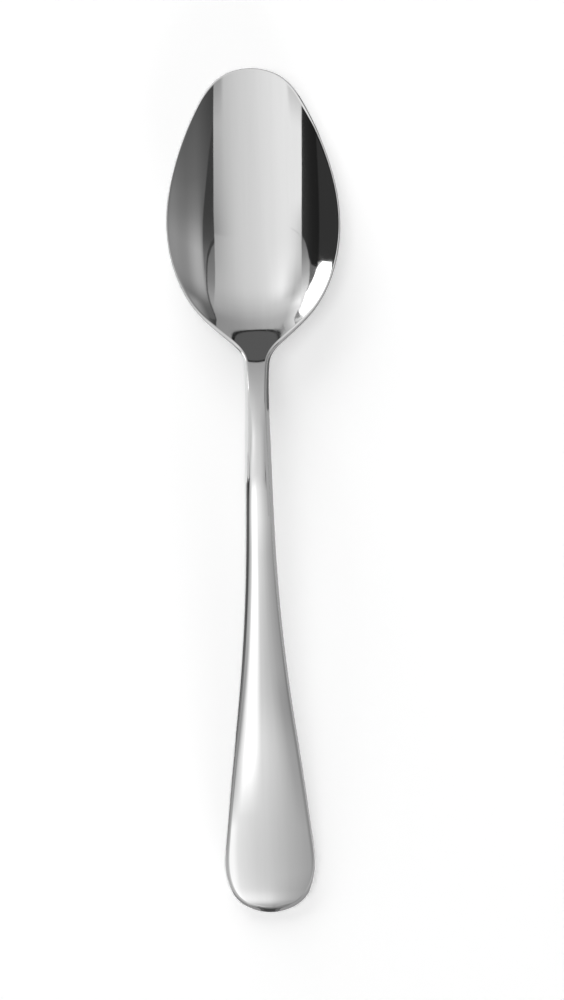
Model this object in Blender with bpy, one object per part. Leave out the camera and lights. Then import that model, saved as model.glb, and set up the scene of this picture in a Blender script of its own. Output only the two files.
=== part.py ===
"""A one-piece tablespoon of polished stainless steel, lying on a table with its bowl towards +Y.

The upper face is drawn from a plan outline, a side profile of its middle line and one curvature across:
hollow in the bowl, turning over to a rounded crown on the neck and the handle. The back lies a set
thickness below it, and a rounded lip joins the two all the way round.
"""

import bmesh
import bpy
import numpy as np

MM = 0.001

# Driving dimensions
LENGTH = 205 * MM
BOWL_LENGTH = 67 * MM
BOWL_WIDTH = 42.2 * MM
BOWL_DEPTH = 8.7 * MM
HANDLE_WIDTH = 21.9 * MM
HANDLE_CROWN = 1.2 * MM
BACK_CROWN_SHARE = 0.1

# Half outline of the bowl: share of the bowl's length from the tip, share of its half width
BOWL_OUTLINE = (
    (0.0388, 0.384),
    (0.1343, 0.616),
    (0.2985, 0.844),
    (0.5597, 1.0),
    (0.7537, 0.896),
    (0.8731, 0.694),
    (0.9403, 0.493),
    (0.9925, 0.308),
)
# Half outline of the neck and handle: share of the length behind the bowl, share of the handle's half width
HANDLE_OUTLINE = (
    (0.0217, 0.333),
    (0.0435, 0.286),
    (0.1014, 0.27),
    (0.1667, 0.286),
    (0.384, 0.353),
    (0.6014, 0.562),
    (0.79, 0.855),
    (0.8696, 0.968),
    (0.9275, 1.0),
    (0.9746, 0.758),
)
NECK_SHARE = 0.1014
WIDEST_SHARE = 0.9275
# Side profile of the upper face along the middle: distance from the tip, height over the table, in mm
SPINE = (
    (0, 9.05),
    (10, 5.6),
    (22, 2.95),
    (36, 1.8),
    (48, 2.85),
    (57, 5.4),
    (61, 7.33),
    (64, 9.07),
    (67, 11.03),
    (70, 13.04),
    (72, 14.28),
    (75, 16.0),
    (79, 18.15),
    (84, 20.55),
    (90, 22.9),
    (105, 25.3),
    (125, 23.7),
    (150, 18.2),
    (178, 10.6),
    (198, 5.0),
    (205, 1.9),
)
TIP_SLOPE = -0.40
END_SLOPE = -0.65
# Thickness of the metal along the middle: distance from the tip, thickness, in mm
THICKNESS = (
    (0, 1.4),
    (36, 2.05),
    (58, 2.4),
    (71, 3.7),
    (86, 4.0),
    (115, 3.6),
    (150, 3.0),
    (185, 2.7),
    (205, 2.65),
)
# Width of the rounded lip seen from above: distance from the tip, width, in mm
LIP = (
    (0, 0.45),
    (40, 0.45),
    (52, 0.6),
    (60, 0.8),
    (67, 1.1),
    (75, 1.25),
    (90, 1.2),
    (110, 1.0),
    (205, 1.0),
)
# Extra width of the lip round the end of the handle, and the distances from the tip that it grows over
END_ROUNDING = 0.8 * MM
END_ROUNDING_GROWS = (203 * MM, 205 * MM)
# Distances from the tip between which the hollow of the bowl flattens out
HOLLOW_FADE = (60.5 * MM, 75 * MM)
# Distances from the tip between which the crown of the handle rises
CROWN_RISE = (71 * MM, 94 * MM)

# Mesh steps: along the outline, across half the width, and round a quarter of the lip
ROWS = 90
COLUMNS = 10
LIP_STEPS = 3
MERGE_DISTANCE = 0.001 * MM
TANGENT_STEP = 0.002 * MM

STEEL_COLOUR = (0.72, 0.72, 0.71, 1.0)
STEEL_ROUGHNESS = 0.12


def clear_scene():
    for obj in list(bpy.data.objects):
        bpy.data.objects.remove(obj, do_unlink=True)


def spline(stations, values, start_slope, end_slope):
    """The smooth cubic curve through the values, with a set slope at each end, as a function."""
    stations = np.asarray(stations, float)
    values = np.asarray(values, float)
    gaps = np.diff(stations)
    count = len(stations)
    steps = np.diff(values) / gaps
    matrix = np.eye(count)
    wanted = np.zeros_like(values)
    wanted[0] = start_slope
    wanted[-1] = end_slope
    for i in range(1, count - 1):
        before = 1 / gaps[i - 1]
        after = 1 / gaps[i]
        matrix[i, i - 1 : i + 2] = before, 2 * (before + after), after
        wanted[i] = 3 * (steps[i - 1] * before + steps[i] * after)
    slopes = np.linalg.solve(matrix, wanted)

    def curve(station):
        station = np.asarray(station, float)
        k = np.clip(np.searchsorted(stations, station) - 1, 0, count - 2)
        gap = gaps[k]
        t = (station - stations[k]) / gap
        near = (values[k] * (1 + 2 * t) + slopes[k] * gap * t) * (1 - t) ** 2
        far = (values[k + 1] * (3 - 2 * t) - slopes[k + 1] * gap * (1 - t)) * t**2
        return near + far

    return curve


def profile(table, start_slope=0.0, end_slope=0.0):
    """A curve through a table of distances and sizes in mm, as a function in metres."""
    stations, values = np.array(table, float).T * MM
    return spline(stations, values, start_slope, end_slope)


def outline_curve():
    """The half outline as a function of the way along it, giving half width and distance from the tip."""
    handle_length = LENGTH - BOWL_LENGTH
    points = [(0.0, 0.0)]
    points += [(w * BOWL_WIDTH / 2, d * BOWL_LENGTH) for d, w in BOWL_OUTLINE]
    points += [(w * HANDLE_WIDTH / 2, BOWL_LENGTH + d * handle_length) for d, w in HANDLE_OUTLINE]
    points += [(0.0, LENGTH)]
    chords = np.linalg.norm(np.diff(points, axis=0), axis=1)
    way = np.concatenate([[0.0], np.cumsum(chords)])
    half_widths, distances = np.transpose(points)
    # Both ends are round, so the outline starts and ends square to the middle line
    half_width = spline(way, half_widths, 1.0, -1.0)
    distance = spline(way, distances, 0.0, 0.0)
    return lambda at: np.stack([half_width(at), distance(at)], axis=-1), way[-1]


spine = profile(SPINE, TIP_SLOPE, END_SLOPE)
thickness = profile(THICKNESS)
lip_width = profile(LIP)
outline, outline_length = outline_curve()


def crown_bend(distance):
    """Curvature that lifts the middle of the handle above its edges by the crown's height."""
    shares = [(d, w) for d, w in HANDLE_OUTLINE if NECK_SHARE <= d <= WIDEST_SHARE]
    stations, widths = np.transpose(shares)
    half_width = spline(stations, widths * HANDLE_WIDTH / 2, 0.0, 0.0)
    share = (distance - BOWL_LENGTH) / (LENGTH - BOWL_LENGTH)
    return HANDLE_CROWN / half_width(np.clip(share, NECK_SHARE, WIDEST_SHARE)) ** 2


def smooth_step(distance, start, end):
    """0 before the start, 1 after the end, and a smooth step between them."""
    t = np.clip((distance - start) / (end - start), 0, 1)
    return t**3 * (t * (6 * t - 15) + 10)


def face_heights(x, distance):
    """Heights of the upper face and of the back, before the lip rounds them into each other."""
    hollow = BOWL_DEPTH / (BOWL_WIDTH / 2) ** 2 * (1 - smooth_step(distance, *HOLLOW_FADE))
    crown = crown_bend(distance) * smooth_step(distance, *CROWN_RISE)
    upper = spine(distance) + (hollow - crown) * x**2
    back = spine(distance) - thickness(distance) + (hollow + BACK_CROWN_SHARE * crown) * x**2
    return upper, back


def half_section_grid():
    """Points of the right half, one row of the loft after another from the handle's end to the tip.

    Each row runs from the middle of the upper face out to the lip, round it and back under to the middle.
    """
    way = np.linspace(outline_length, 0, ROWS + 1)
    edge = outline(way)
    ahead = outline(np.minimum(way + TANGENT_STEP, outline_length))
    behind = outline(np.maximum(way - TANGENT_STEP, 0))
    along = ahead - behind
    along /= np.linalg.norm(along, axis=1)[:, None]
    inward = np.stack([-along[:, 1], along[:, 0]], axis=1)
    width = lip_width(edge[:, 1]) + END_ROUNDING * smooth_step(edge[:, 1], *END_ROUNDING_GROWS)

    angles = np.linspace(np.pi / 2, -np.pi / 2, 2 * LIP_STEPS + 1)
    inset = width[:, None] * (1 - np.cos(angles))
    lip_x = edge[:, :1] + inward[:, :1] * inset
    lip_distance = edge[:, 1:] + inward[:, 1:] * inset
    across = np.linspace(0, 1, COLUMNS + 1)[:-1]
    face_x = lip_x[:, :1] * across
    face_distance = np.repeat(lip_distance[:, :1], COLUMNS, axis=1)

    x = np.hstack([face_x, lip_x, face_x[:, ::-1]])
    distance = np.hstack([face_distance, lip_distance, face_distance[:, ::-1]])
    side = np.hstack([np.ones(COLUMNS), np.sin(angles), -np.ones(COLUMNS)])
    # The ends of the outline are on the mirror plane
    x[[0, -1]] = 0
    upper, back = face_heights(x, distance)
    z = (upper + back) / 2 + side * (upper - back) / 2
    # Use has worn the back flat where it touches the table
    z = np.maximum(z, 0)
    return np.stack([x, LENGTH / 2 - distance, z], axis=2)


def steel_material():
    material = bpy.data.materials.new("polished_steel")
    material.use_nodes = True
    shader = material.node_tree.nodes["Principled BSDF"]
    shader.inputs["Base Color"].default_value = STEEL_COLOUR
    shader.inputs["Metallic"].default_value = 1.0
    shader.inputs["Roughness"].default_value = STEEL_ROUGHNESS
    return material


def make_spoon():
    points = half_section_grid()
    rows, columns = points.shape[:2]
    bm = bmesh.new()
    bmesh.ops.create_grid(bm, x_segments=columns - 1, y_segments=rows - 1)
    for vert, point in zip(bm.verts, points.reshape(-1, 3)):
        vert.co = point
    # At both ends a row shrinks to the lip's own curve, so its doubled points become one
    bmesh.ops.remove_doubles(bm, verts=bm.verts, dist=MERGE_DISTANCE)
    mesh = bpy.data.meshes.new("spoon")
    bm.to_mesh(mesh)
    bm.free()
    mesh.shade_smooth()
    mesh.materials.append(steel_material())
    spoon = bpy.data.objects.new("spoon", mesh)
    bpy.context.scene.collection.objects.link(spoon)
    mirror = spoon.modifiers.new("left half", "MIRROR")
    mirror.use_axis = (True, False, False)
    mirror.merge_threshold = MERGE_DISTANCE
    return spoon


clear_scene()
make_spoon()
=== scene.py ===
"""Looks of the tablespoon: its fine polished surface, and a studio with a pale table and light cards."""

import math

import bmesh
import bpy
import numpy as np
from mathutils import Matrix, Vector


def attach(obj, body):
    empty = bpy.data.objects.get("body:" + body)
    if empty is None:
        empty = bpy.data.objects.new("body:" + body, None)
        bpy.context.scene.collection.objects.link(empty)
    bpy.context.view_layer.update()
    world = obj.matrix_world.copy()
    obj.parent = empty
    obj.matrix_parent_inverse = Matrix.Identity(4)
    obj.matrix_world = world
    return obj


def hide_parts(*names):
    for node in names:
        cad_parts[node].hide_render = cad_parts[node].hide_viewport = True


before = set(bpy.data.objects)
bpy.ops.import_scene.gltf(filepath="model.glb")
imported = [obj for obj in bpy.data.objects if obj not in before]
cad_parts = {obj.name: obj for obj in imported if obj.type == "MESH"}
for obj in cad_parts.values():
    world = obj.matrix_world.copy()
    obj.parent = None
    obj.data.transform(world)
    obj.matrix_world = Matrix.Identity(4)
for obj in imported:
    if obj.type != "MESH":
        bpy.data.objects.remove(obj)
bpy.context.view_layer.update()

MM = 0.001

# Size and shape of the spoon, the same values as in the CAD model
LENGTH = 205 * MM
BOWL_LENGTH = 67 * MM
BOWL_WIDTH = 42.2 * MM
BOWL_DEPTH = 8.7 * MM
HANDLE_WIDTH = 21.9 * MM
HANDLE_CROWN = 1.2 * MM
BACK_CROWN_SHARE = 0.1
# Half outline of the bowl: share of the bowl's length from the tip, share of its half width
BOWL_OUTLINE = (
    (0.0388, 0.384),
    (0.1343, 0.616),
    (0.2985, 0.844),
    (0.5597, 1.0),
    (0.7537, 0.896),
    (0.8731, 0.694),
    (0.9403, 0.493),
    (0.9925, 0.308),
)
# Half outline of the neck and handle: share of the length behind the bowl, share of the handle's half width
HANDLE_OUTLINE = (
    (0.0217, 0.333),
    (0.0435, 0.286),
    (0.1014, 0.27),
    (0.1667, 0.286),
    (0.384, 0.353),
    (0.6014, 0.562),
    (0.79, 0.855),
    (0.8696, 0.968),
    (0.9275, 1.0),
    (0.9746, 0.758),
)
NECK_SHARE = 0.1014
WIDEST_SHARE = 0.9275
# Side profile of the upper face along the middle: distance from the tip, height over the table, in mm
SPINE = (
    (0, 9.05),
    (10, 5.6),
    (22, 2.95),
    (36, 1.8),
    (48, 2.85),
    (57, 5.4),
    (61, 7.33),
    (64, 9.07),
    (67, 11.03),
    (70, 13.04),
    (72, 14.28),
    (75, 16.0),
    (79, 18.15),
    (84, 20.55),
    (90, 22.9),
    (105, 25.3),
    (125, 23.7),
    (150, 18.2),
    (178, 10.6),
    (198, 5.0),
    (205, 1.9),
)
TIP_SLOPE = -0.40
END_SLOPE = -0.65
# Thickness of the metal along the middle: distance from the tip, thickness, in mm
THICKNESS = (
    (0, 1.4),
    (36, 2.05),
    (58, 2.4),
    (71, 3.7),
    (86, 4.0),
    (115, 3.6),
    (150, 3.0),
    (185, 2.7),
    (205, 2.65),
)
# Width of the rounded lip seen from above: distance from the tip, width, in mm
LIP = (
    (0, 0.45),
    (40, 0.45),
    (52, 0.6),
    (60, 0.8),
    (67, 1.1),
    (75, 1.25),
    (90, 1.2),
    (110, 1.0),
    (205, 1.0),
)
# Extra width of the lip round the end of the handle, and the distances from the tip that it grows over
END_ROUNDING = 0.8 * MM
END_ROUNDING_GROWS = (203 * MM, 205 * MM)
# Distances from the tip between which the hollow of the bowl flattens out
HOLLOW_FADE = (60.5 * MM, 75 * MM)
# Distances from the tip between which the crown of the handle rises
CROWN_RISE = (71 * MM, 94 * MM)
# Fine mesh steps: along the outline, across half the width, and round a quarter of the lip
ROWS = 420
COLUMNS = 40
LIP_STEPS = 6
MERGE_DISTANCE = 0.001 * MM
TANGENT_STEP = 0.002 * MM

# Polished stainless steel
STEEL_LIGHT = (0.73, 0.73, 0.73, 1.0)
STEEL_DARK = (0.69, 0.69, 0.69, 1.0)
STEEL_ROUGHNESS = (0.035, 0.06)
# Polishing streaks run along the spoon: how many to a metre across it, along it and upwards
STREAKS = (700, 9, 150)
STREAK_DETAIL = 6.0
STREAK_ROUGHNESS = 0.65
# Strengths of the streaks at which the metal has its lowest and its highest roughness
STREAK_RANGE = (0.3, 0.7)

# Camera of the photograph
CAMERA_PLACE = Vector((24.6, 0, 1100)) * MM
CAMERA_TARGET = Vector((0, 0, 10)) * MM
CAMERA_ROLL = 0.026
CAMERA_SENSOR = 36.0
CAMERA_LENS = 162.5
CAMERA_CLIP = (0.01, 50.0)
# The target sits left of and above the middle of the picture by this much
TARGET_LEFT = 5.30 * MM
TARGET_UP = 2.04 * MM

# Light cards, seen only in the metal. Places on a card are shares of its height: across and along the spoon
PANEL_HEIGHT = 0.8
# Cards that overlap hang one below the other, each step lower by this share of the height
CARD_STEP = 0.001
# The main panel over the bowl, with a fine seam
PANEL_CORNERS = (
    (0.78, -1.7), (0.78, -0.3), (0.79, -0.1), (0.81, 0.11), (0.815, 0.33), (0.85, 0.6), (0.905, 0.83),
    (1.04, 1.22), (1.15, 1.5), (1.18, 1.75), (1.19, 2.0), (1.3, 2.17), (2.3, 2.3), (2.5, 3.2),
    (-1.7, 3.2), (-1.45, 2.2), (-1.42, 1.6), (-1.35, 1.3), (-1.25, 0.95), (-1.19, 0.68), (-1.155, 0.4),
    (-1.16, 0.14), (-1.2, -0.06), (-1.25, -0.24), (-1.32, -0.44), (-1.43, -0.68), (-1.6, -1.1),
    (-1.6, -1.7),
)
SEAM_CORNERS = (
    (-0.75, 0.232), (-0.95, 0.272), (-1.05, 0.3), (-1.16, 0.35), (-1.16, 0.365), (-1.05, 0.313),
    (-0.95, 0.281),
)
# The gap at the panel's left corner, between the panel and the softbox
GAP_CORNERS = ((-1.4, 1.8), (-1.35, 2.12), (-1.68, 2.24))
# The grey card on the right, and the dark strip between it and the panel
RIGHT_CARD_CORNERS = ((0.7, -2.5), (4.5, -2.5), (4.5, 3.2), (0.7, 3.2))
STRIP_CORNERS = (
    (0.7, -0.4), (0.8, -0.36), (0.85, -0.29), (0.92, -0.2), (1.0, -0.08), (1.06, 0.02), (1.1, 0.09),
    (1.15, 0.2), (1.18, 0.35), (1.19, 0.5), (1.2, 0.65), (1.2, 0.8), (0.9, 0.8), (0.7, 0.5),
)
# Curved wings on both sides of the panel, each with a dark edge
RIGHT_WING_CORNERS = (
    (0.8, 0.33), (0.92, 0.4), (1.02, 0.49), (1.07, 0.57), (1.13, 0.76), (1.18, 1.0), (1.19, 1.25),
    (1.19, 1.5), (1.18, 2.0), (1.0, 2.0),
)
RIGHT_WING_EDGE_CORNERS = (
    (0.8, 0.29), (0.94, 0.36), (1.05, 0.46), (1.1, 0.55), (1.165, 0.75), (1.22, 1.0), (1.235, 1.25),
    (1.235, 1.5), (1.22, 2.0), (1.4, 2.08), (1.55, 2.1), (1.57, 2.16), (1.3, 2.2), (1.0, 2.02),
)
LEFT_WING_CORNERS = (
    (-1.1, 0.3), (-1.3, 0.41), (-1.42, 0.52), (-1.53, 0.67), (-1.57, 0.85), (-1.58, 1.07),
    (-1.47, 1.24), (-1.44, 1.9), (-1.5, 2.2), (-1.1, 2.2),
)
LEFT_WING_EDGE_CORNERS = (
    (-1.5, 0.6), (-1.62, 0.7), (-1.92, 0.8), (-1.86, 0.92), (-1.74, 1.03), (-1.62, 1.14), (-1.5, 1.2),
    (-1.4, 0.9),
)
# The dark card on the left, with a wall and a bright softbox beyond it
DARK_CARD_CORNERS = (
    (-1.0, -2.5), (-1.0, 0.3), (-1.57, 0.68), (-1.75, 0.86), (-2.05, 0.8), (-2.05, -2.5),
)
LEFT_WALL_CORNERS = ((-2.03, -2.5), (-2.03, 0.76), (-3.46, 1.06), (-4.5, 1.2), (-4.5, -2.5))
SOFTBOX_CORNERS = (
    (-2.0, 0.83), (-2.38, 0.82), (-3.4, 1.06), (-3.3, 1.25), (-2.85, 1.5), (-2.25, 1.95), (-1.82, 2.3),
    (-1.5, 1.93), (-1.53, 1.24), (-1.66, 1.07),
)
# The grey board beyond the bowl, with a dark edge
BOARD_CORNERS = (
    (-0.84, 2.1), (-0.6, 2.15), (-0.3, 2.17), (0.1, 2.17), (0.4, 2.14), (0.7, 2.1), (0.8, 3.4),
    (-0.9, 3.4),
)
BOARD_EDGE_CORNERS = (
    (-0.91, 1.99), (-0.6, 2.06), (-0.3, 2.085), (0.1, 2.085), (0.4, 2.05), (0.76, 1.99), (0.85, 3.5),
    (-0.97, 3.5),
)
# Light of a card: layers of strength, its course across the card and its course along the spoon
PANEL_LIGHT = (
    (
        1.0,
        (
            (-1.4, 1.09), (-0.6, 1.06), (-0.2, 0.955), (0.0, 0.885), (0.2, 0.84), (0.4, 0.77),
            (0.65, 0.72), (1.3, 0.66),
        ),
        (
            (0.3, 1.0), (0.8, 0.97), (1.0, 0.89), (1.2, 0.81), (1.4, 0.725), (1.6, 0.64), (1.8, 0.555),
            (2.1, 0.53),
        ),
    ),
    (
        -0.3,
        ((0.25, 0.0), (0.5, 0.35), (0.8, 1.0)),
        (
            (-0.5, 0.17), (-0.2, 0.4), (0.0, 0.73), (0.2, 1.0), (0.26, 1.0), (0.28, 0.7), (0.6, 0.4),
            (1.4, 0.0),
        ),
    ),
    (
        -0.4,
        ((-1.2, 1.0), (-1.1, 0.85), (-0.95, 0.45), (-0.8, 0.15), (-0.6, 0.0)),
        ((0.05, 0.0), (0.25, 0.75), (0.6, 0.85), (0.85, 1.05), (1.1, 0.9), (1.4, 0.0)),
    ),
    (
        0.16,
        ((-1.0, 0.0), (-0.6, 1.0), (-0.2, 0.0)),
        ((0.3, 0.0), (0.8, 1.0), (1.2, 0.0)),
    ),
    (
        0.4,
        ((-1.35, 1.0), (-0.95, 0.0)),
        ((1.15, 0.0), (1.45, 0.9), (1.8, 1.0), (2.3, 0.9)),
    ),
    (
        0.3,
        ((-1.3, 1.0), (-1.22, 0.95), (-1.14, 0.7), (-1.06, 0.3), (-0.98, 0.0)),
        ((0.8, 0.0), (0.9, 0.4), (0.98, 0.75), (1.1, 1.1), (1.25, 1.0), (1.4, 0.6), (1.6, 0.0)),
    ),
    (
        -0.12,
        ((-1.15, 0.2), (-1.02, 0.7), (-0.94, 1.0), (-0.8, 1.0), (-0.72, 0.6), (-0.65, 0.0)),
        ((0.45, 0.0), (0.6, 0.6), (0.72, 1.0), (0.95, 1.0), (1.1, 0.6), (1.2, 0.0)),
    ),
    (
        -0.28,
        ((-0.95, 1.0), (-0.86, 0.0)),
        ((-0.62, 1.0), (-0.53, 0.75), (-0.46, 0.4), (-0.36, 0.0)),
    ),
    (
        -0.28,
        ((0.52, 0.0), (0.6, 1.0)),
        ((-0.62, 0.8), (-0.5, 0.5), (-0.43, 0.33), (-0.35, 0.15), (-0.2, 0.15), (0.1, 0.0)),
    ),
)
RIGHT_CARD_LIGHT = (
    (
        1.0,
        ((0.8, 0.11), (1.3, 0.19), (2.0, 0.2), (3.0, 0.26)),
        ((-0.5, 0.7), (0.0, 1.0), (1.2, 1.0), (2.0, 0.75)),
    ),
    (
        0.36,
        ((1.12, 0.0), (1.3, 1.0), (2.0, 0.45), (3.0, 0.3)),
        ((-0.1, 0.0), (0.2, 0.35), (0.45, 0.95), (0.65, 1.0), (1.0, 0.75), (1.4, 0.1), (2.2, 0.0)),
    ),
    (
        0.22,
        ((1.5, 0.0), (1.9, 1.0), (3.2, 1.0)),
        ((1.3, 0.0), (1.6, 1.0), (3.2, 1.0)),
    ),
)
STRIP_LIGHT = (
    (
        1.0,
        ((0.7, 1.0), (1.2, 1.0)),
        ((0.0, 0.06), (0.2, 0.075), (0.35, 0.11), (0.5, 0.19), (0.65, 0.24), (0.8, 0.36)),
    ),
)
RIGHT_WING_LIGHT = (
    (
        1.0,
        ((0.8, 1.0), (1.3, 1.0)),
        ((0.3, 0.2), (0.6, 0.26), (0.8, 0.32), (1.0, 0.395), (1.3, 0.44), (2.0, 0.37)),
    ),
)
LEFT_WING_LIGHT = (
    (
        1.0,
        ((-1.6, 1.0), (-1.1, 1.0)),
        ((0.35, 0.2), (0.6, 0.4), (0.8, 0.62), (1.0, 0.85), (1.2, 1.05), (1.6, 1.1)),
    ),
)
DARK_CARD_LIGHT = (
    (
        1.0,
        ((-2.0, 0.018), (-1.5, 0.027), (-1.15, 0.05)),
        ((-1.0, 1.0), (1.0, 1.0)),
    ),
)
SEAM_LIGHT = 0.72
GAP_LIGHT = 0.33
RIGHT_WING_EDGE_LIGHT = 0.06
LEFT_WING_EDGE_LIGHT = 0.18
SOFTBOX_LIGHT = 3.0
BOARD_LIGHT = 0.125
BOARD_EDGE_LIGHT = 0.01
LEFT_WALL_LIGHT = 0.043
# A low reflector over the handle, seen only in the metal
REFLECTOR_HEIGHT = 0.1
REFLECTOR_CORNERS = ((-6.0, -6.0), (6.0, -6.0), (6.0, 0.28), (-6.0, 0.28))
# It fades out towards the bowl
REFLECTOR_END = ((0.12, 1.0), (0.28, 0.0))
REFLECTOR_LIGHT = (
    (
        1.0,
        (
            (-3.0, 0.1), (-1.12, 0.14), (-1.0, 0.3), (-0.9, 0.52), (-0.8, 0.7), (-0.7, 0.92),
            (-0.6, 1.12), (-0.45, 1.15), (-0.2, 1.1), (0.0, 0.98), (0.2, 0.82), (0.4, 0.68),
            (0.6, 0.58), (0.8, 0.51), (1.15, 0.45),
        ),
        (
            (-6.0, 0.4), (-4.5, 0.48), (-3.4, 0.53), (-2.87, 0.55), (-2.64, 0.57), (-2.46, 0.76),
            (-2.25, 1.0), (-2.0, 0.98), (-1.87, 0.87), (-1.7, 0.8), (-1.4, 0.82), (-1.2, 0.95),
            (-1.0, 0.82), (-0.7, 0.83), (-0.5, 0.9), (-0.3, 0.98), (-0.1, 1.15), (0.0, 1.15),
            (0.3, 1.0),
        ),
    ),
    (
        0.75,
        ((-0.68, 0.0), (-0.55, 1.0), (-0.32, 1.0), (-0.12, 0.0)),
        ((-1.38, 0.0), (-1.2, 1.0), (-0.2, 1.0), (0.0, 0.75), (0.15, 0.3), (0.28, 0.0)),
    ),
    (
        0.42,
        ((-0.65, 0.0), (-0.57, 1.0), (-0.51, 0.9), (-0.46, 0.45), (-0.4, 0.25), (-0.2, 0.0)),
        ((-1.4, 1.0), (-1.2, 0.0)),
    ),
    (
        -0.2,
        ((-0.1, 0.0), (0.1, 0.75), (0.3, 1.0), (0.5, 1.0), (0.7, 0.4), (0.9, 0.0)),
        ((-2.7, 0.6), (-2.25, 1.0), (-2.0, 0.8), (-1.87, 0.45), (-1.7, 0.0)),
    ),
    (
        0.22,
        ((0.45, 0.0), (0.8, 0.6), (1.2, 1.0), (2.5, 1.0)),
        ((-6.0, 0.8), (-3.0, 1.0), (-2.5, 1.0), (-2.1, 0.4), (-1.9, 0.0)),
    ),
    (
        0.2,
        ((0.02, 0.0), (0.12, 0.7), (0.3, 1.0), (0.5, 0.6), (0.7, 0.0)),
        ((-6.0, 0.6), (-3.4, 1.0), (-2.65, 1.0), (-2.45, 0.3), (-2.35, 0.0)),
    ),
    (
        0.25,
        ((-1.8, 0.0), (-1.2, 1.0), (-0.8, 1.0), (-0.6, 0.2), (-0.5, 0.0)),
        ((-6.0, 1.0), (-2.7, 1.0), (-2.4, 0.0)),
    ),
    (
        -0.11,
        ((0.2, 0.0), (0.45, 1.0), (1.2, 1.0)),
        ((-1.42, 0.0), (-1.25, 1.0), (-1.05, 0.9), (-0.9, 0.0)),
    ),
    (
        -0.75,
        ((-1.0, 0.0), (-0.8, 0.35), (-0.64, 1.0), (-0.56, 1.0), (-0.5, 0.6), (-0.44, 0.0)),
        ((-1.42, 0.0), (-1.32, 0.8), (-1.2, 1.0), (-1.05, 0.6), (-0.8, 0.25), (-0.6, 0.0)),
    ),
    (
        0.45,
        ((-3.5, 0.25), (-1.6, 1.0), (-1.1, 1.0), (-0.9, 0.5), (-0.7, 0.0)),
        ((-1.9, 1.0), (-1.5, 0.8), (-1.2, 0.45), (-0.9, 0.1), (-0.7, 0.0)),
    ),
    (
        0.45,
        ((-3.0, 1.0), (-1.6, 0.0)),
        ((-2.3, 1.0), (-2.0, 0.7), (-1.8, 0.0)),
    ),
)
# Small cards just above both sides of the neck, seen only in the metal
NECK_CARD_HEIGHT = 0.03
RIGHT_NECK_CORNERS = (
    (0.23, -0.2), (1.5, -0.2), (1.5, 0.67), (0.83, 1.2), (0.5, 1.27), (0.33, 1.0), (0.23, 0.47),
)
RIGHT_NECK_LIGHT = 0.52
LEFT_NECK_CORNERS = (
    (-0.34, 0.18), (-2.0, 0.3), (-2.0, 1.5), (-0.9, 1.65), (-0.4, 1.55), (-0.25, 1.05), (-0.32, 0.7),
)
LEFT_NECK_LIGHT = 0.8
# Sheets on the table beside the spoon, seen only in the metal, with their corners in metres. They are darker
# than the table: the right one is painted shade of the table beside the spoon, the left one a painted dark
# reflection
SHEET_LEVEL = 0.1 * MM
RIGHT_PAINTED_SHADE_CORNERS = ((0.012, -0.09), (1.5, -0.11), (1.5, 1.0), (0.022, 1.0))
RIGHT_PAINTED_SHADE_LIGHT = 0.5
LEFT_PAINTED_DARK_CORNERS = ((-0.055, 0.006), (-3.8, 0.6), (-3.8, -1.0), (-0.055, -0.065))
LEFT_PAINTED_DARK_LIGHT = 0.2
# Darker sheets just above them: painted shadow of the bowl on the table, for the shade on the neck, and
# painted shade on the rim of the bowl
SHADE_LEVEL = 0.2 * MM
SHADE_CORNERS = (
    (0.012, 0.02), (0.05, 0.0345), (0.12, 0.068), (0.2, 0.115), (0.2, 0.14), (0.05, 0.055),
    (0.012, 0.034),
)
SHADE_LIGHT = 0.17
RIM_SHADE_CORNERS = ((0.012, 0.097), (0.26, 0.262), (0.285, 0.225), (0.017, 0.086))
RIM_SHADE_LIGHT = 0.03
# Sectors of the room at the handle's end, seen only in the metal: two side slopes, dark table light and wall
# light. Their tables are far darker than the table itself: a painted dark reflection at the handle's end
# Their sides meet at the apex, their table runs from near to far, and their wall rises at the far end
SECTOR_APEX = -0.092
SECTOR_NEAR = -0.1
SECTOR_FAR = -1.0
SECTOR_RISE = 0.2
SECTORS = (
    ("front_left", -1.5, -0.25, 0.36, 0.62),
    ("front_left_middle", -0.25, -0.17, 0.13, 0.55),
    ("front_middle", -0.17, 0.07, 0.08, 0.3),
    ("front_right_middle", 0.07, 0.17, 0.18, 0.32),
    ("front_right", 0.17, 1.5, 0.4, 0.47),
)
# The pale table and the room round it
FLOOR_SIZE = 8.0
FLOOR_GAP = 0.02 * MM
FLOOR_COLOUR = (0.9, 0.9, 0.9, 1.0)
FLOOR_GLOW = 0.4
ROOM_HALF = 3.9
ROOM_HEIGHT = 2.6
# The walls on the left are dark between these two places along the spoon
DARK_WALL = (-1.3, 1.15)
NEAR_WALL_LIGHT = 0.5
DARK_WALL_LIGHT = 0.1
FAR_WALL_LIGHT = 0.9
RIGHT_WALL_LIGHT = 0.4
WORLD_COLOUR = (1.0, 1.0, 1.0, 1.0)
# Lamps for the light and the shadow on the table: place, size and power
KEY_LAMP = ((-0.93, 2.85, 1.09), 2.5, 88.0)
TOP_LAMP = ((-0.36, 0.21, 2.36), 1.2, 23.0)
BACK_LAMP = ((0.8, -2.99, 0.83), 1.2, 31.0)


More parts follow.
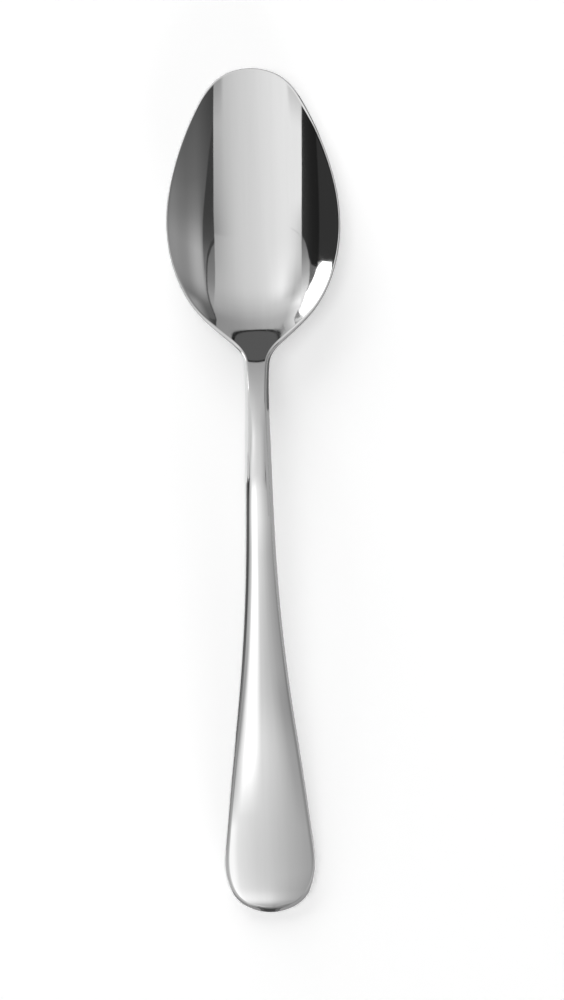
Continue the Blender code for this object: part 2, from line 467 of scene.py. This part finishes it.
def spline(stations, values, start_slope, end_slope):
    """The smooth cubic curve through the values, with a set slope at each end, as a function."""
    stations = np.asarray(stations, float)
    values = np.asarray(values, float)
    gaps = np.diff(stations)
    count = len(stations)
    steps = np.diff(values) / gaps
    matrix = np.eye(count)
    wanted = np.zeros_like(values)
    wanted[0] = start_slope
    wanted[-1] = end_slope
    for i in range(1, count - 1):
        before = 1 / gaps[i - 1]
        after = 1 / gaps[i]
        matrix[i, i - 1 : i + 2] = before, 2 * (before + after), after
        wanted[i] = 3 * (steps[i - 1] * before + steps[i] * after)
    slopes = np.linalg.solve(matrix, wanted)

    def curve(station):
        station = np.asarray(station, float)
        k = np.clip(np.searchsorted(stations, station) - 1, 0, count - 2)
        gap = gaps[k]
        t = (station - stations[k]) / gap
        near = (values[k] * (1 + 2 * t) + slopes[k] * gap * t) * (1 - t) ** 2
        far = (values[k + 1] * (3 - 2 * t) - slopes[k + 1] * gap * (1 - t)) * t**2
        return near + far

    return curve


def profile(table, start_slope=0.0, end_slope=0.0):
    """A curve through a table of distances and sizes in mm, as a function in metres."""
    stations, values = np.array(table, float).T * MM
    return spline(stations, values, start_slope, end_slope)


def outline_curve():
    """The half outline as a function of the way along it, giving half width and distance from the tip."""
    handle_length = LENGTH - BOWL_LENGTH
    points = [(0.0, 0.0)]
    points += [(w * BOWL_WIDTH / 2, d * BOWL_LENGTH) for d, w in BOWL_OUTLINE]
    points += [(w * HANDLE_WIDTH / 2, BOWL_LENGTH + d * handle_length) for d, w in HANDLE_OUTLINE]
    points += [(0.0, LENGTH)]
    chords = np.linalg.norm(np.diff(points, axis=0), axis=1)
    way = np.concatenate([[0.0], np.cumsum(chords)])
    half_widths, distances = np.transpose(points)
    # Both ends are round, so the outline starts and ends square to the middle line
    half_width = spline(way, half_widths, 1.0, -1.0)
    distance = spline(way, distances, 0.0, 0.0)
    return lambda at: np.stack([half_width(at), distance(at)], axis=-1), way[-1]


spine = profile(SPINE, TIP_SLOPE, END_SLOPE)
thickness = profile(THICKNESS)
lip_width = profile(LIP)
outline, outline_length = outline_curve()


def crown_bend(distance):
    """Curvature that lifts the middle of the handle above its edges by the crown's height."""
    shares = [(d, w) for d, w in HANDLE_OUTLINE if NECK_SHARE <= d <= WIDEST_SHARE]
    stations, widths = np.transpose(shares)
    half_width = spline(stations, widths * HANDLE_WIDTH / 2, 0.0, 0.0)
    share = (distance - BOWL_LENGTH) / (LENGTH - BOWL_LENGTH)
    return HANDLE_CROWN / half_width(np.clip(share, NECK_SHARE, WIDEST_SHARE)) ** 2


def smooth_step(distance, start, end):
    """0 before the start, 1 after the end, and a smooth step between them."""
    t = np.clip((distance - start) / (end - start), 0, 1)
    return t**3 * (t * (6 * t - 15) + 10)


def face_heights(x, distance):
    """Heights of the upper face and of the back, before the lip rounds them into each other."""
    hollow = BOWL_DEPTH / (BOWL_WIDTH / 2) ** 2 * (1 - smooth_step(distance, *HOLLOW_FADE))
    crown = crown_bend(distance) * smooth_step(distance, *CROWN_RISE)
    upper = spine(distance) + (hollow - crown) * x**2
    back = spine(distance) - thickness(distance) + (hollow + BACK_CROWN_SHARE * crown) * x**2
    return upper, back


def half_section_grid():
    """Points of the right half, one row of the loft after another from the handle's end to the tip.

    Each row runs from the middle of the upper face out to the lip, round it and back under to the middle.
    """
    way = np.linspace(outline_length, 0, ROWS + 1)
    edge = outline(way)
    ahead = outline(np.minimum(way + TANGENT_STEP, outline_length))
    behind = outline(np.maximum(way - TANGENT_STEP, 0))
    along = ahead - behind
    along /= np.linalg.norm(along, axis=1)[:, None]
    inward = np.stack([-along[:, 1], along[:, 0]], axis=1)
    width = lip_width(edge[:, 1]) + END_ROUNDING * smooth_step(edge[:, 1], *END_ROUNDING_GROWS)

    angles = np.linspace(np.pi / 2, -np.pi / 2, 2 * LIP_STEPS + 1)
    inset = width[:, None] * (1 - np.cos(angles))
    lip_x = edge[:, :1] + inward[:, :1] * inset
    lip_distance = edge[:, 1:] + inward[:, 1:] * inset
    across = np.linspace(0, 1, COLUMNS + 1)[:-1]
    face_x = lip_x[:, :1] * across
    face_distance = np.repeat(lip_distance[:, :1], COLUMNS, axis=1)

    x = np.hstack([face_x, lip_x, face_x[:, ::-1]])
    distance = np.hstack([face_distance, lip_distance, face_distance[:, ::-1]])
    side = np.hstack([np.ones(COLUMNS), np.sin(angles), -np.ones(COLUMNS)])
    # The ends of the outline are on the mirror plane
    x[[0, -1]] = 0
    upper, back = face_heights(x, distance)
    z = (upper + back) / 2 + side * (upper - back) / 2
    # Use has worn the back flat where it touches the table
    z = np.maximum(z, 0)
    return np.stack([x, LENGTH / 2 - distance, z], axis=2)


class Nodes:
    """A short way to write a node tree."""

    def __init__(self, tree):
        self.tree = tree
        tree.nodes.clear()

    def add(self, kind, **settings):
        node = self.tree.nodes.new(kind)
        for name, value in settings.items():
            setattr(node, name, value)
        return node

    def put(self, socket, value):
        """Links an output to the socket, or sets the socket to a plain value."""
        if isinstance(value, bpy.types.NodeSocket):
            self.tree.links.new(value, socket)
        else:
            socket.default_value = value

    def math(self, operation, first, second=0.0):
        node = self.add("ShaderNodeMath", operation=operation)
        self.put(node.inputs[0], first)
        self.put(node.inputs[1], second)
        return node.outputs[0]

    def ramp(self, value, stops):
        """A smooth course through the stops, given as pairs of place and strength."""
        first = stops[0][0]
        last = stops[-1][0]
        fit = self.add("ShaderNodeMapRange")
        self.put(fit.inputs["Value"], value)
        self.put(fit.inputs["From Min"], first)
        self.put(fit.inputs["From Max"], last)
        top = max(strength for _, strength in stops)
        ramp = self.add("ShaderNodeValToRGB")
        ramp.color_ramp.interpolation = "CARDINAL"
        points = ramp.color_ramp.elements
        while len(points) < len(stops):
            # Every stop gets its own place below
            points.new(0.5)
        for point, (place, strength) in zip(points, stops):
            point.position = (place - first) / (last - first)
            share = strength / top
            point.color = (share, share, share, 1.0)
        self.put(ramp.inputs[0], fit.outputs[0])
        return self.math("MULTIPLY", ramp.outputs[0], top)


def new_material(name):
    material = bpy.data.materials.new(name)
    material.use_nodes = True
    return material, Nodes(material.node_tree)


def steel_material():
    """Mirror polish with faint streaks along the spoon."""
    material, nodes = new_material("polished_steel")
    shader = nodes.add("ShaderNodeBsdfPrincipled")
    shader.inputs["Metallic"].default_value = 1.0
    place = nodes.add("ShaderNodeTexCoord")
    stretch = nodes.add("ShaderNodeMapping")
    stretch.inputs["Scale"].default_value = STREAKS
    nodes.put(stretch.inputs["Vector"], place.outputs["Object"])
    streaks = nodes.add("ShaderNodeTexNoise")
    # The mapping has set the scale already
    streaks.inputs["Scale"].default_value = 1.0
    streaks.inputs["Detail"].default_value = STREAK_DETAIL
    streaks.inputs["Roughness"].default_value = STREAK_ROUGHNESS
    nodes.put(streaks.inputs["Vector"], stretch.outputs[0])
    colour = nodes.add("ShaderNodeMix", data_type="RGBA")
    nodes.put(colour.inputs["Factor"], streaks.outputs["Fac"])
    nodes.put(colour.inputs["A"], STEEL_LIGHT)
    nodes.put(colour.inputs["B"], STEEL_DARK)
    nodes.put(shader.inputs["Base Color"], colour.outputs["Result"])
    roughness = nodes.ramp(streaks.outputs["Fac"], tuple(zip(STREAK_RANGE, STEEL_ROUGHNESS)))
    nodes.put(shader.inputs["Roughness"], roughness)
    output = nodes.add("ShaderNodeOutputMaterial")
    nodes.put(output.inputs["Surface"], shader.outputs[0])
    return material


def make_spoon():
    points = half_section_grid()
    rows, columns = points.shape[:2]
    bm = bmesh.new()
    bmesh.ops.create_grid(bm, x_segments=columns - 1, y_segments=rows - 1)
    for vert, point in zip(bm.verts, points.reshape(-1, 3)):
        vert.co = point
    # At both ends a row shrinks to the lip's own curve, so its doubled points become one
    bmesh.ops.remove_doubles(bm, verts=bm.verts, dist=MERGE_DISTANCE)
    mesh = bpy.data.meshes.new("polished_spoon")
    bm.to_mesh(mesh)
    bm.free()
    mesh.shade_smooth()
    mesh.materials.append(steel_material())
    spoon = bpy.data.objects.new("polished_spoon", mesh)
    bpy.context.scene.collection.objects.link(spoon)
    mirror = spoon.modifiers.new("left half", "MIRROR")
    mirror.use_axis = (True, False, False)
    mirror.merge_threshold = MERGE_DISTANCE
    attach(spoon, "root")
    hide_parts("spoon")
    # The metal throws no light on the table, so the shadow stays even
    spoon.visible_diffuse = False


def stage_mesh(name, points, faces, material):
    mesh = bpy.data.meshes.new(name)
    mesh.from_pydata(points, [], faces)
    mesh.materials.append(material)
    obj = bpy.data.objects.new(name, mesh)
    bpy.context.scene.collection.objects.link(obj)
    return obj


def mirror_mesh(name, points, faces, material):
    """A surface that shows only in the metal."""
    obj = stage_mesh(name, points, faces, material)
    obj.visible_camera = False
    obj.visible_diffuse = False
    obj.visible_shadow = False


def card(name, corners, material, height=PANEL_HEIGHT, steps=0):
    """A flat light card over the table, some steps lower than the height given."""
    level = height * (1 - steps * CARD_STEP)
    points = [(x * level, y * level, level) for x, y in corners]
    mirror_mesh(name, points, [tuple(range(len(points)))], material)


def glow(name, strength):
    """A plain light surface."""
    material, nodes = new_material(name)
    light = nodes.add("ShaderNodeEmission")
    nodes.put(light.inputs["Strength"], strength)
    output = nodes.add("ShaderNodeOutputMaterial")
    nodes.put(output.inputs["Surface"], light.outputs[0])
    return material


def graded_glow(name, layers, height=PANEL_HEIGHT, end=None):
    """A light surface whose strength changes over it, and that fades out at its end if one is given."""
    material, nodes = new_material(name)
    place = nodes.add("ShaderNodeNewGeometry")
    parts = nodes.add("ShaderNodeSeparateXYZ")
    nodes.put(parts.inputs[0], place.outputs["Position"])
    across = nodes.math("DIVIDE", parts.outputs["X"], height)
    along = nodes.math("DIVIDE", parts.outputs["Y"], height)
    total = 0.0
    for strength, course_across, course_along in layers:
        share = nodes.math("MULTIPLY", nodes.ramp(across, course_across), nodes.ramp(along, course_along))
        total = nodes.math("ADD", total, nodes.math("MULTIPLY", share, strength))
    light = nodes.add("ShaderNodeEmission")
    nodes.put(light.inputs["Strength"], nodes.math("MAXIMUM", total, 0.0))
    surface = light.outputs[0]
    if end:
        clear = nodes.add("ShaderNodeBsdfTransparent")
        mix = nodes.add("ShaderNodeMixShader")
        nodes.put(mix.inputs[0], nodes.ramp(along, end))
        nodes.put(mix.inputs[1], clear.outputs[0])
        nodes.put(mix.inputs[2], surface)
        surface = mix.outputs[0]
    output = nodes.add("ShaderNodeOutputMaterial")
    nodes.put(output.inputs["Surface"], surface)
    return material


def seen_by_eye_or_mirror(nodes):
    """1 for what the camera sees directly, in a mirror or through glass, and 0 for other light."""
    path = nodes.add("ShaderNodeLightPath")
    direct = nodes.math("ADD", path.outputs["Is Camera Ray"], path.outputs["Is Glossy Ray"])
    return nodes.math("MINIMUM", nodes.math("ADD", direct, path.outputs["Is Transmission Ray"]), 1.0)


def floor_material():
    """A pale matt table that stays white in the picture and keeps the spoon's shadow."""
    material, nodes = new_material("pale_table")
    matt = nodes.add("ShaderNodeBsdfDiffuse")
    nodes.put(matt.inputs["Color"], FLOOR_COLOUR)
    light = nodes.add("ShaderNodeEmission")
    nodes.put(light.inputs["Strength"], nodes.math("MULTIPLY", seen_by_eye_or_mirror(nodes), FLOOR_GLOW))
    both = nodes.add("ShaderNodeAddShader")
    nodes.put(both.inputs[0], matt.outputs[0])
    nodes.put(both.inputs[1], light.outputs[0])
    output = nodes.add("ShaderNodeOutputMaterial")
    nodes.put(output.inputs["Surface"], both.outputs[0])
    return material


def make_floor():
    half = FLOOR_SIZE / 2
    sides = ((-half, -half), (half, -half), (half, half), (-half, half))
    corners = [(x, y, -FLOOR_GAP) for x, y in sides]
    stage_mesh("table", corners, [(0, 1, 2, 3)], floor_material())


def make_room():
    """Walls and a ceiling round the table: even on the right, and in three parts on the left."""
    parts = (
        ("near_left", -ROOM_HALF, 0, -ROOM_HALF, DARK_WALL[0], NEAR_WALL_LIGHT),
        ("middle_left", -ROOM_HALF, 0, *DARK_WALL, DARK_WALL_LIGHT),
        ("far_left", -ROOM_HALF, 0, DARK_WALL[1], ROOM_HALF, FAR_WALL_LIGHT),
        ("right", 0, ROOM_HALF, -ROOM_HALF, ROOM_HALF, RIGHT_WALL_LIGHT),
    )
    for name, left, right, near, far, light in parts:
        points = [(x, y, z) for x in (left, right) for y in (near, far) for z in (0, ROOM_HEIGHT)]
        walls = ((left, (0, 1, 3, 2)), (right, (4, 5, 7, 6)), (near, (0, 1, 5, 4)), (far, (2, 3, 7, 6)))
        faces = [face for place, face in walls if abs(place) == ROOM_HALF]
        # The ceiling
        faces.append((1, 3, 7, 5))
        mirror_mesh(f"{name}_room", points, faces, glow(f"{name}_wall", light))


def make_cards():
    card("right_card", RIGHT_CARD_CORNERS, graded_glow("right_card_light", RIGHT_CARD_LIGHT))
    card("left_wall_card", LEFT_WALL_CORNERS, glow("left_wall_light", LEFT_WALL_LIGHT))
    card("dark_strip", STRIP_CORNERS, graded_glow("strip_light", STRIP_LIGHT), steps=1)
    card("dark_card", DARK_CARD_CORNERS, graded_glow("dark_card_light", DARK_CARD_LIGHT), steps=1)
    card("right_wing_edge", RIGHT_WING_EDGE_CORNERS, glow("right_wing_edge", RIGHT_WING_EDGE_LIGHT), steps=2)
    card("left_wing_edge", LEFT_WING_EDGE_CORNERS, glow("left_wing_edge", LEFT_WING_EDGE_LIGHT), steps=2)
    card("right_wing", RIGHT_WING_CORNERS, graded_glow("right_wing_light", RIGHT_WING_LIGHT), steps=3)
    card("left_wing", LEFT_WING_CORNERS, graded_glow("left_wing_light", LEFT_WING_LIGHT), steps=3)
    card("main_panel", PANEL_CORNERS, graded_glow("panel_light", PANEL_LIGHT), steps=4)
    card("panel_seam", SEAM_CORNERS, glow("seam_light", SEAM_LIGHT), steps=5)
    card("softbox", SOFTBOX_CORNERS, glow("softbox_light", SOFTBOX_LIGHT), steps=6)
    card("corner_gap", GAP_CORNERS, glow("gap_light", GAP_LIGHT), steps=7)
    card("far_board_edge", BOARD_EDGE_CORNERS, glow("board_edge", BOARD_EDGE_LIGHT), steps=20)
    card("far_board", BOARD_CORNERS, glow("board_grey", BOARD_LIGHT), steps=25)
    light = graded_glow("reflector_light", REFLECTOR_LIGHT, REFLECTOR_HEIGHT, REFLECTOR_END)
    card("low_reflector", REFLECTOR_CORNERS, light, REFLECTOR_HEIGHT)
    card("right_neck_card", RIGHT_NECK_CORNERS, glow("right_neck_light", RIGHT_NECK_LIGHT), NECK_CARD_HEIGHT)
    card("left_neck_card", LEFT_NECK_CORNERS, glow("left_neck_light", LEFT_NECK_LIGHT), NECK_CARD_HEIGHT)


def make_sheets():
    # Sheets darker than the table, which paint shade and dark reflections of the table into the metal
    sheets = (
        ("right_painted_shade_sheet", RIGHT_PAINTED_SHADE_CORNERS, SHEET_LEVEL, RIGHT_PAINTED_SHADE_LIGHT),
        ("left_painted_dark_sheet", LEFT_PAINTED_DARK_CORNERS, SHEET_LEVEL, LEFT_PAINTED_DARK_LIGHT),
        ("shade_sheet", SHADE_CORNERS, SHADE_LEVEL, SHADE_LIGHT),
        ("rim_shade_sheet", RIM_SHADE_CORNERS, SHADE_LEVEL, RIM_SHADE_LIGHT),
    )
    for name, corners, level, strength in sheets:
        points = [(x, y, level) for x, y in corners]
        mirror_mesh(name, points, [tuple(range(len(points)))], glow(f"{name}_light", strength))
    rows = ((SECTOR_NEAR, SHEET_LEVEL), (SECTOR_FAR, SHEET_LEVEL), (SECTOR_FAR, SECTOR_RISE))
    for name, left, right, dark_table_light, wall_light in SECTORS:
        points = [(slope * (SECTOR_APEX - y), y, z) for y, z in rows for slope in (left, right)]
        # The table part of each sector is a painted dark reflection of the table
        mirror_mesh(f"{name}_table", points[:4], [(0, 1, 3, 2)], glow(f"{name}_table", dark_table_light))
        mirror_mesh(f"{name}_wall", points[2:], [(0, 1, 3, 2)], glow(f"{name}_wall", wall_light))


def make_lamp(name, place, size, power):
    """A square lamp that points at the spoon and doesn't show in the metal."""
    light = bpy.data.lights.new(name, "AREA")
    light.size = size
    light.energy = power
    lamp = bpy.data.objects.new(name, light)
    bpy.context.scene.collection.objects.link(lamp)
    lamp.location = place
    lamp.rotation_euler = (-Vector(place)).to_track_quat("-Z", "Y").to_euler()
    lamp.visible_camera = False
    lamp.visible_glossy = False


def make_world():
    world = bpy.data.worlds.new("studio")
    bpy.context.scene.world = world
    world.use_nodes = True
    nodes = Nodes(world.node_tree)
    back = nodes.add("ShaderNodeBackground")
    nodes.put(back.inputs["Color"], WORLD_COLOUR)
    nodes.put(back.inputs["Strength"], seen_by_eye_or_mirror(nodes))
    output = nodes.add("ShaderNodeOutputWorld")
    nodes.put(output.inputs["Surface"], back.outputs[0])


def view_axes(target, up):
    """The directions right, upward and ahead of the camera when it looks at the target."""
    ahead = (target - CAMERA_PLACE).normalized()
    right = ahead.cross(up).normalized()
    return right, right.cross(ahead), ahead


def make_camera():
    lens = bpy.data.cameras.new("camera")
    lens.sensor_width = CAMERA_SENSOR
    lens.lens = CAMERA_LENS
    lens.clip_start, lens.clip_end = CAMERA_CLIP
    camera = bpy.data.objects.new("camera", lens)
    bpy.context.scene.collection.objects.link(camera)
    up = Vector((math.sin(CAMERA_ROLL), math.cos(CAMERA_ROLL), 0))
    right, upward, _ = view_axes(CAMERA_TARGET, up)
    aim = CAMERA_TARGET + right * TARGET_LEFT - upward * TARGET_UP
    right, upward, ahead = view_axes(aim, up)
    turned = Matrix((right, upward, -ahead)).transposed()
    camera.matrix_world = Matrix.Translation(CAMERA_PLACE) @ turned.to_4x4()
    bpy.context.scene.camera = camera


make_spoon()
make_floor()
make_room()
make_cards()
make_sheets()
make_lamp("key_lamp", *KEY_LAMP)
make_lamp("top_lamp", *TOP_LAMP)
make_lamp("back_lamp", *BACK_LAMP)
make_world()
make_camera()
bpy.context.scene.view_settings.view_transform = "Standard"
